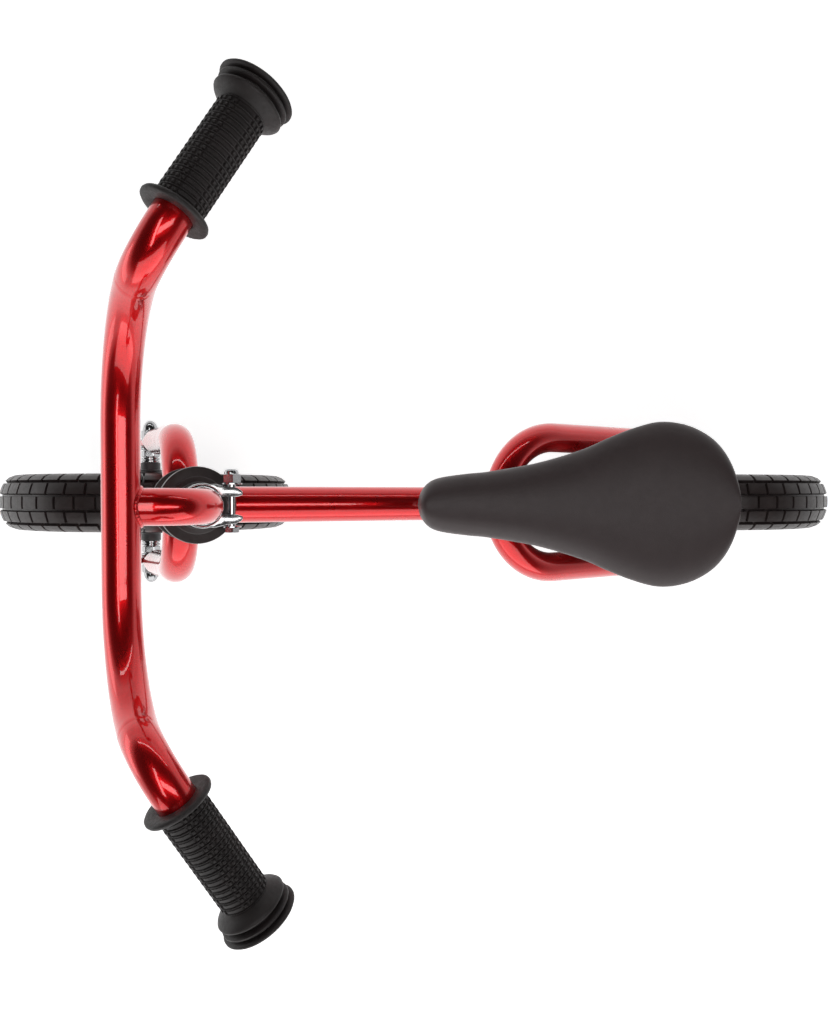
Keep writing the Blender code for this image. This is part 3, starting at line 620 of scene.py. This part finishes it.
def make_fork():
    end_forward = (STEERING.inverted() @ FRONT_AXLE).x * 0.9
    half = []
    steps = 24
    for i in range(steps + 1):
        angle = math.pi / 2 * i / steps
        half.append(Vector((FORK_LEAD, FORK_HALF_WIDTH * math.cos(angle),
                            CROWN_HEIGHT - FORK_HALF_WIDTH * (1 - math.sin(angle)))))
    lower = []
    low_steps = 30
    low_z, high_z = FORK_END_HEIGHT - 0.004, half[0].z
    for i in range(low_steps):
        along = i / low_steps
        height = low_z + (high_z - low_z) * along
        sweep = max(0.0, 1 - along * 1.15) ** 1.6
        splay = FORK_SPLAY * (1 - along ** 1.5)
        lower.append(Vector((FORK_LEAD + (end_forward - FORK_LEAD) * sweep,
                             FORK_HALF_WIDTH + splay, height)))
    left = lower + half
    path = [STEERING @ point for point in left + mirrored(left[:-1])[::-1]]
    last = len(path) - 1

    def section(i):
        nearness = min(i, last - i) / low_steps      # 0 at an end, 1 where the arch begins
        taper = FORK_END_RADIUS + (FORK_RADIUS - FORK_END_RADIUS) * min(1, nearness / 0.75)
        flat = max(0.0, 1 - nearness / 0.16) ** 1.5   # the end is pressed flat on the dropout
        return taper * (1 - 0.04 * flat), taper + (0.0044 - taper) * flat

    forward = STEERING.col[0].to_3d()
    add_piece("fork_tube", swept_mesh("fork_tube", path, section, forward, 56), PAINT,
              "steering", ["fork"])
    seam = tube_meeting(STEERING @ Vector((0, 0, 0)), -STEERING.col[2].to_3d(), STEERER_RADIUS,
                        STEERING @ Vector((FORK_LEAD, 0, CROWN_HEIGHT)), Vector((0, 1, 0)),
                        FORK_RADIUS)
    add_piece("crown_weld", weld_mesh("crown_weld", seam, 0.0020), PAINT, "steering")


# ---- frame ----------------------------------------------------------------------------------
def make_frame():
    backwards = (MAIN_OVER_LOOP - MAIN_FRONT).normalized()
    seat_normal = SEAT_UP.cross(Vector((0, 1, 0)))
    reach = (SEAT_FOOT - MAIN_FRONT).dot(seat_normal) / backwards.dot(seat_normal)
    rear_end = MAIN_FRONT + backwards * reach
    add_piece("main_tube_shell", straight_tube("main_tube_shell", MAIN_FRONT + backwards * 0.0165,
                                               rear_end - backwards * 0.0135, MAIN_RADIUS),
              PAINT, "frame", ["main_tube"])
    seam = tube_meeting(MAIN_FRONT + backwards * 0.1, -backwards, MAIN_RADIUS,
                        STEERING.translation, STEERING.col[2].to_3d(), HEAD_RADIUS)
    add_piece("head_weld", weld_mesh("head_weld", seam, 0.0018), PAINT, "frame")
    seam = tube_meeting(MAIN_FRONT + backwards * 0.1, backwards, MAIN_RADIUS, SEAT_FOOT, SEAT_UP,
                        SEAT_TUBE_RADIUS)
    add_piece("seat_tube_weld", weld_mesh("seat_tube_weld", seam, 0.0018), PAINT,
              "frame")

    forward = (LOOP_FRONT - REAR_AXLE).normalized()
    end = REAR_AXLE + forward * (LOOP_END_DISTANCE - 0.004)
    middle = LOOP_FRONT - forward * LOOP_BEND_LENGTH
    leg_steps = 24
    leg = [end.lerp(middle, i / leg_steps) + Vector((0, LOOP_HALF_WIDTH, 0))
           for i in range(leg_steps)]
    bend_steps = 60
    bend = [middle + forward * LOOP_BEND_LENGTH * math.sin(math.pi * i / bend_steps)
            + Vector((0, LOOP_HALF_WIDTH * math.cos(math.pi * i / bend_steps), 0))
            for i in range(bend_steps + 1)]
    path = leg + bend + mirrored(leg)[::-1]
    last = len(path) - 1

    def section(i):
        nearness = min(i, last - i) / leg_steps
        flat = max(0.0, 1 - nearness / 0.16) ** 1.5
        return LOOP_RADIUS * (1 - 0.04 * flat), LOOP_RADIUS + (0.0046 - LOOP_RADIUS) * flat

    add_piece("rear_loop_tube",
              swept_mesh("rear_loop_tube", path, section, forward.cross(Vector((0, 1, 0))), 56),
              PAINT, "frame", ["rear_loop"])

    tube = soften([(SEAT_TUBE_RADIUS, SEAT_TUBE_LENGTH), (SEAT_TUBE_RADIUS, 0), (0.0131, 0),
                   (0.0131, SEAT_TUBE_LENGTH)], 0.0005)
    add_piece("seat_tube_shell", turned_mesh("seat_tube_shell", SEAT_LINE, tube, 72, ring=True),
              PAINT, "frame", ["seat_tube"])


# ---- wheels ---------------------------------------------------------------------------------
TREAD_PITCHES = 44
# carcass outline, half of it: (radius, distance from the middle plane), bead to crown
CARCASS = ((0.1015, 0.0115), (0.1080, 0.0120), (0.1120, 0.0170), (0.1180, 0.0225),
           (0.1250, 0.0240), (0.1305, 0.0236), (0.1350, 0.0216), (0.1385, 0.0178),
           (0.1410, 0.0124), (0.1426, 0.0062), (0.1431, 0.0))
CARCASS_MIDDLE = Vector((0.125, 0))
TREAD_DEPTH = 0.0029
BAND_EDGES = (-0.0345, -0.0190, -0.0066, 0.0066, 0.0190, 0.0345)   # from the tread's middle
# the tyre's inner face: (radius, distance from the middle plane), one bead to the other
INNER_FACE = ((0.1013, 0.0080), (0.1180, 0.0160), (0.1340, 0.0120), (0.1340, -0.0120),
              (0.1180, -0.0160), (0.1013, -0.0080))
GROOVE = 0.0016
BLOCK_EDGE = 0.0006


def smooth_outline(points, per_span):
    """A Catmull-Rom curve through points."""
    result = []
    for i in range(len(points) - 1):
        p0 = Vector(points[max(i - 1, 0)])
        p1, p2 = Vector(points[i]), Vector(points[i + 1])
        p3 = Vector(points[min(i + 2, len(points) - 1)])
        for k in range(per_span):
            t = k / per_span
            result.append(0.5 * (2 * p1 + (p2 - p0) * t + (2 * p0 - 5 * p1 + 4 * p2 - p3) * t * t
                                 + (3 * p1 - p0 - 3 * p2 + p3) * t ** 3))
    result.append(Vector(points[-1]))
    return result


def outline_at(points, lengths, distance):
    """The point and outward normal of the carcass outline at a distance from its middle."""
    last = len(points) - 2
    i = next(i for i in range(last + 1) if lengths[i + 1] >= distance or i == last)
    t = min(max((distance - lengths[i]) / (lengths[i + 1] - lengths[i]), 0), 1)
    direction = (points[i + 1] - points[i]).normalized()
    normal = Vector((direction.y, -direction.x))
    if normal.dot(points[i] - CARCASS_MIDDLE) < 0:
        normal = -normal
    return points[i].lerp(points[i + 1], t), normal


def make_tyre(prefix, place):
    half = smooth_outline(CARCASS, 6)[::-1]
    lengths = [0.0]
    for a, b in zip(half, half[1:]):
        lengths.append(lengths[-1] + (b - a).length)
    end = lengths[-1]

    # rows across the tyre: groove and block edges of every band, then the plain sidewalls
    stops = []
    for band, (start, stop) in enumerate(zip(BAND_EDGES, BAND_EDGES[1:])):
        low, high = start + GROOVE / 2, stop - GROOVE / 2
        stops += [(low, 0, band), (low + BLOCK_EDGE, 1, band),
                  (low * 0.67 + high * 0.33, 1, band), (low * 0.33 + high * 0.67, 1, band),
                  (high - BLOCK_EDGE, 1, band), (high, 0, band)]
    plain = [-end, -end + 0.003, -0.062, -0.058, -0.055, -0.050, -0.0455, -0.0450, -0.0445,
             -0.0405]
    stops = [(at, 0, None) for at in plain] + stops + [(-at, 0, None) for at in reversed(plain)]

    # columns around it: the cross grooves of even and odd bands, half a pitch apart
    pitch = 2 * math.pi / TREAD_PITCHES
    groove = GROOVE / TYRE_RADIUS / 2
    edge = BLOCK_EDGE / TYRE_RADIUS
    columns = []
    for i in range(2 * TREAD_PITCHES):
        base = i * pitch / 2
        columns += [(base - groove, i % 2, 0), (base + groove, i % 2, 0),
                    (base + groove + edge, i % 2, 1), (base + pitch / 4, i % 2, 1),
                    (base + pitch / 2 - groove - edge, (i + 1) % 2, 1)]

    def around(angle, radius, across):
        return place @ Vector((radius * math.cos(angle), radius * math.sin(angle), across))

    rows = []
    for at, raised, band in stops:
        point, normal = outline_at(half, lengths, abs(at))
        row = []
        for angle, parity, top in columns:
            height = 0.0
            if raised and band is not None:
                in_groove = top == 0 and parity == band % 2
                height = 0.0 if in_groove else TREAD_DEPTH
            radius = point.x + normal.x * height
            across = math.copysign(point.y + normal.y * height, at)
            row.append(around(angle, radius, across))
        rows.append(row)
    for radius, across in INNER_FACE:
        rows.append([around(angle, radius, across) for angle, _, _ in columns])
    mesh = grid_mesh(f"{prefix}_tread", rows, close_rows=True)
    add_piece(f"{prefix}_tread", mesh, TYRE, f"{prefix}_wheel",
              [f"{prefix}_tyre"], 30)


SPOKES = 5
# half a spoke: (distance from the axle, half width)
SPOKE_HALF = ((0.0190, 0.0100), (0.0350, 0.0095), (0.0650, 0.0085), (0.0850, 0.0105),
              (0.0975, 0.0165))


def make_rim(prefix, place):
    """A moulded wheel: rim channel, ribbed spokes and hub."""
    channel = soften([(0.1070, 0.0150), (0.1070, 0.0122), (0.1010, 0.0118), (0.1010, -0.0118),
                      (0.1070, -0.0122), (0.1070, -0.0150), (0.0985, -0.0142), (0.0965, -0.0100),
                      (0.0965, 0.0100), (0.0985, 0.0142)], 0.0010)
    meshes = [turned_mesh("rim", place, channel, 160, ring=True)]
    hub = soften([(0.0165, 0.0310), (0.0180, 0.0295), (0.0185, 0.0120), (0.0225, 0.0080),
                  (0.0225, -0.0080), (0.0185, -0.0120), (0.0180, -0.0295), (0.0165, -0.0310),
                  (0.0133, -0.0310), (0.0133, 0.0310)], 0.0008)
    meshes.append(turned_mesh("hub", place, hub, 72, ring=True))
    for i in range(SPOKES):
        spoke_place = place @ Matrix.Rotation(2 * math.pi * i / SPOKES, 4, "Z")
        edge = smooth_outline(SPOKE_HALF, 4)
        outline = [(p.x, p.y) for p in edge] + [(p.x, -p.y) for p in reversed(edge)]
        meshes.append(extruded_mesh("spoke", spoke_place, outline, -0.0042, 0.0042, 0.0014))
        for sign in (1, -1):
            flange = [(p.x, sign * (p.y - 0.0006)) for p in edge]
            flange += [(p.x, sign * (p.y - 0.0030)) for p in reversed(edge)]
            meshes.append(extruded_mesh("flange", spoke_place, flange, -0.0072, 0.0072, 0.0007))
    add_piece(f"{prefix}_moulded_wheel", join_meshes(f"{prefix}_moulded_wheel", meshes), PLASTIC,
              f"{prefix}_wheel", [f"{prefix}_rim"])
    for side, sign in SIDES:
        side_place = place @ Matrix.Rotation(0 if sign > 0 else math.pi, 4, "X")
        rows = soften([(0.0130, 0.0310), (0.0130, 0.0230), (0.0051, 0.0230), (0.0051, 0.0310),
                       (0.0072, 0.0310), (0.0076, 0.0303), (0.0108, 0.0303), (0.0112, 0.0310)],
                      0.0003)
        add_piece(f"{prefix}_race_{side}",
                  turned_mesh(f"{prefix}_race_{side}", side_place, rows, 64, ring=True),
                  CHROME, f"{prefix}_wheel", [f"{prefix}_bearing_{side}"])


def make_axle(prefix, axle, body):
    rod = soften([(0, AXLE_HALF), (AXLE_RADIUS, AXLE_HALF), (AXLE_RADIUS, -AXLE_HALF),
                  (0, -AXLE_HALF)], 0.0006, closed=False)
    add_piece(f"{prefix}_spindle",
              turned_mesh(f"{prefix}_spindle", axes_matrix(axle, (0, 1, 0)), rod, 40),
              CHROME, body, [f"{prefix}_axle"])
    bore = AXLE_RADIUS + FIT
    outer = DROPOUT_INNER + DROPOUT_THICKNESS
    for side, sign in SIDES:
        place = axes_matrix(axle, (0, sign, 0))
        spacer = soften([(0.0100, 0.0400), (0.0100, 0.0334), (0.0118, 0.0326), (0.0118, 0.0314),
                         (bore, 0.0314), (bore, 0.0405), (0.0094, 0.0405)], 0.0005)
        add_piece(f"{prefix}_spacer_{side}", turned_mesh("spacer", place, spacer, 64, ring=True),
                  GREY, body, [f"{prefix}_axle_spacer_{side}"])
        rows = [(bore, 0.0408), (0.0088, 0.0408), (0.0093, 0.0412), (0.0093, 0.0424),
                (0.0088, 0.0428), (0.0076, 0.0430), (0.0076, 0.0436), (0.0092, 0.0438),
                (0.0095, 0.0442), (0.0095, 0.0452), (0.0090, 0.0456), (0.0074, 0.0458),
                (0.0074, 0.0463)]
        rows += hex_rows(0.0165, 0.0464, 0.0528, 0.0008)[::-1]
        rows += [(0.0074, 0.0530), (0.0074, 0.0536), (0.0092, 0.0539), (0.0098, 0.0543),
                 (0.0098, 0.0566), (0.0094, 0.0572), (bore, 0.0572)]
        add_piece(f"{prefix}_locking_nut_{side}", turned_mesh("lock", place, rows, 72, ring=True),
                  CHROME, body, [f"{prefix}_lock_nut_{side}"])
        washer = soften([(0.0105, outer + 0.0020), (0.0105, outer + FIT), (bore, outer + FIT),
                         (bore, outer + 0.0020)], 0.0004)
        add_piece(f"{prefix}_washer_{side}", turned_mesh("washer", place, washer, 64, ring=True),
                  CHROME, body, [f"{prefix}_axle_washer_{side}"])
        rows = [(bore, 0.0648), (0.0086, 0.0648), (0.0088, 0.0654)]
        rows += hex_rows(0.0165, 0.0655, 0.0742, 0.0010)[::-1]
        rows += [(0.0076 * math.cos(a), 0.0744 + 0.0101 * math.sin(a))
                 for a in [math.pi / 2 * i / 10 for i in range(11)]]
        add_piece(f"{prefix}_cap_nut_{side}", turned_mesh("cap", place, rows, 72), CHROME,
                  body, [f"{prefix}_axle_nut_{side}"])
    dropout_prefix = "fork" if prefix == "front" else "rear"
    for side, _ in SIDES:
        dress(f"{dropout_prefix}_dropout_{side}", PAINT)


def make_wheels():
    for prefix, axle, body in (("front", FRONT_AXLE, "steering"), ("rear", REAR_AXLE, "frame")):
        place = axes_matrix(axle, (0, 1, 0))
        make_tyre(prefix, place)
        make_rim(prefix, place)
        make_axle(prefix, axle, body)


# ---- saddle, post and clamp -----------------------------------------------------------------
# plan outline: distance back from the nose, half width
SADDLE_PLAN = ((0.0, 0.0), (0.0020, 0.0095), (0.0075, 0.0170), (0.0170, 0.0213),
               (0.0370, 0.0243), (0.0570, 0.0264), (0.0940, 0.0330), (0.1300, 0.0435),
               (0.1500, 0.0522), (0.1680, 0.0595), (0.1860, 0.0650), (0.1980, 0.0663),
               (0.2110, 0.0648), (0.2245, 0.0603), (0.2380, 0.0515), (0.2475, 0.0390),
               (0.2520, 0.0240), (0.2535, 0.0))
SADDLE_NOSE_ROUND = 0.0215
SADDLE_RIM = 0.34             # where the side is widest, as a share of the padding's thickness
SADDLE_COLUMNS = 96


def saddle_height(along):
    """The padding's thickness in the middle, nose (0) to tail (1)."""
    return 0.0265 - 0.0015 * math.sin(along * math.pi) + 0.0085 * max(0, along - 0.35) ** 1.3


def make_saddle():
    low, high = [Vector(corner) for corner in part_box("saddle_cover")]
    nose, floor = high.x, low.z
    rows = []
    length = SADDLE_PLAN[-1][0]
    for point in smooth_outline(SADDLE_PLAN, 8):
        back, half = point.x, max(point.y, 0.0)
        along = back / length
        fullness = math.sqrt(1 - (1 - min(half / SADDLE_NOSE_ROUND, 1)) ** 2)
        crown = saddle_height(along) * (0.42 + 0.58 * fullness)
        row = []
        for k in range(SADDLE_COLUMNS):
            angle = 2 * math.pi * k / SADDLE_COLUMNS
            across, up = math.cos(angle), math.sin(angle)
            if up >= 0:
                wide = math.copysign(abs(across) ** 0.88, across)
                tall = SADDLE_RIM + (1 - SADDLE_RIM) * up ** 0.92
            else:
                wide = math.copysign(abs(across) ** 0.35, across) * (1 - 0.035 * (-up) ** 0.5)
                tall = SADDLE_RIM - SADDLE_RIM * (-up) ** 0.45
            row.append(Vector((nose - back, half * wide, floor + crown * tall)))
        rows.append(row)
    mesh = grid_mesh("saddle_pad", rows)
    piece = add_piece("saddle_pad", mesh, SADDLE, "saddle", ["saddle_cover"], 60)


def make_underside():
    clamp = joint_point("saddle_tilt")
    tilt = joint_axis("saddle_tilt")
    forward = Vector((1, 0, 0))
    place = axes_matrix(clamp, tilt, forward)
    core = soften([(0.0160, 0.0175), (0.0160, -0.0175), (0.0043, -0.0175), (0.0043, 0.0175)],
                  0.0008)
    add_piece("clamp_core", turned_mesh("clamp_core", place, core, 64, ring=True), CHROME,
              "post", ["seat_clamp_core"])
    for side, sign in SIDES:
        jaw_place = axes_matrix(clamp, tilt * sign, forward)
        jaw = soften([(0.0160, 0.0258), (0.0160, 0.0178), (0.0043, 0.0178), (0.0043, 0.0278),
                      (0.0135, 0.0278)], 0.0010)
        add_piece(f"clamp_jaw_{side}", turned_mesh("jaw", jaw_place, jaw, 64, ring=True), CHROME,
                  "saddle", [f"saddle_clamp_jaw_{side}"])
    post = soften([(POST_RADIUS, 0.1255), (POST_RADIUS, 0.008), (0.0107, 0.008),
                   (0.0107, 0.1255)], 0.0005)
    add_piece("post_tube", turned_mesh("post_tube", SEAT_LINE, post, 64, ring=True), CHROME,
              "post", ["seat_post"])


def make_dressed_nodes():
    for node in ("seat_collar", "seat_collar_bolt", "saddle_clamp_bolt", "saddle_clamp_nut",
                 "saddle_rail"):
        dress(node, CHROME)
    dress("saddle_base", PLASTIC)


# ---- floor, light and camera ----------------------------------------------------------------
FLOOR_RADIUS = 16.0
FLOOR_HEIGHT = -0.0005


def make_stage():
    material, nodes, links, shader = new_material("pale_floor")
    place = nodes.new("ShaderNodeTexCoord")
    cloud = noise_node(nodes, links, place, 3)
    links.new(mixed_colour(nodes, links, cloud.outputs["Fac"], (0.93, 0.93, 0.93),
                           (0.95, 0.95, 0.95)), shader.inputs["Base Color"])
    shader.inputs["Roughness"].default_value = 0.9
    shader.inputs["Emission Color"].default_value = (1, 1, 1, 1)
    shader.inputs["Emission Strength"].default_value = 0.70
    mesh = bpy.data.meshes.new("floor")
    rim = [(x, y, FLOOR_HEIGHT) for x, y in arc((0, 0), FLOOR_RADIUS, 0, 2 * math.pi, 96)[:96]]
    mesh.from_pydata(rim, [], [tuple(range(len(rim)))])
    floor = bpy.data.objects.new("floor", mesh)
    bpy.context.scene.collection.objects.link(floor)
    mesh.materials.append(material)


def make_world():
    """A soft studio: a bright band above the horizon, dark overhead."""
    world = bpy.data.worlds.new("studio")
    bpy.context.scene.world = world
    world.use_nodes = True
    nodes, links = world.node_tree.nodes, world.node_tree.links
    background = nodes["Background"]
    place = nodes.new("ShaderNodeTexCoord")
    split = nodes.new("ShaderNodeSeparateXYZ")
    links.new(place.outputs["Generated"], split.inputs["Vector"])
    ramp = nodes.new("ShaderNodeValToRGB")
    levels = ramp.color_ramp.elements
    levels[0].position, levels[1].position = 0.03, 0.75
    levels[0].color, levels[1].color = (0.90, 0.90, 0.90, 1), (0.022, 0.022, 0.022, 1)
    for position, level in ((0.12, 0.55), (0.30, 0.06)):
        levels.new(position).color = (level, level, level, 1)
    links.new(split.outputs["Z"], ramp.inputs["Fac"])
    links.new(ramp.outputs["Color"], background.inputs["Color"])
    background.inputs["Strength"].default_value = 1.0


def area_light(name, place, target, size, power):
    data = bpy.data.lights.new(name, "AREA")
    data.shape = "RECTANGLE"
    data.size, data.size_y = size
    data.energy = power
    light = bpy.data.objects.new(name, data)
    bpy.context.scene.collection.objects.link(light)
    light.location = place
    light.rotation_euler = (Vector(target) - Vector(place)).to_track_quat("-Z", "Y").to_euler()


FOCAL_PIXELS = 950
IMAGE_HEIGHT = 1029
CAMERA_PLACE = Vector((0.0905, -0.0100, 1.158))
CAMERA_TILT = math.radians(4.6)
CAMERA_ROLL = math.radians(1.36)


def make_camera():
    data = bpy.data.cameras.new("camera")
    data.sensor_width = 36
    data.lens = 36 * FOCAL_PIXELS / IMAGE_HEIGHT
    data.clip_start = 0.01
    camera = bpy.data.objects.new("camera", data)
    bpy.context.scene.collection.objects.link(camera)
    look = Vector((-math.sin(CAMERA_TILT), 0, -math.cos(CAMERA_TILT)))
    right = Vector((-math.cos(CAMERA_TILT), 0, math.sin(CAMERA_TILT)))
    down = Vector((0, 1, 0))
    forward = look * math.cos(CAMERA_ROLL) + down * math.sin(CAMERA_ROLL)
    up = -(down * math.cos(CAMERA_ROLL) - look * math.sin(CAMERA_ROLL))
    place = Matrix((right, up, -forward)).transposed().to_4x4()
    place.translation = CAMERA_PLACE
    camera.matrix_world = place
    bpy.context.scene.camera = camera


make_camera()
make_stage()
make_world()
# strips over the handlebar, a tall panel on the left side, a low one in front, a thin one at right
area_light("strip_front", (0.45, 0.0, 2.0), (0.45, 0.0, 0.0), (0.22, 1.3), 3.6)
area_light("strip_rear", (-0.39, 0.0, 2.0), (-0.20, 0.0, 0.0), (0.34, 1.3), 5.0)
area_light("panel_left", (0.0, 1.7, 1.1), (0.0, 0.0, 0.35), (3.2, 1.6), 24.0)
area_light("panel_front", (1.9, 0.1, 0.35), (0.0, 0.0, 0.45), (1.6, 0.5), 3.0)
area_light("line_right", (0.0, -1.6, 1.15), (0.0, 0.0, 0.35), (3.0, 0.10), 4.0)
make_handlebar()
make_grips()
make_headset()
make_stem_clamp()
make_fork()
make_frame()
make_wheels()
make_saddle()
make_underside()
make_dressed_nodes()

bpy.context.scene.view_settings.view_transform = "Standard"
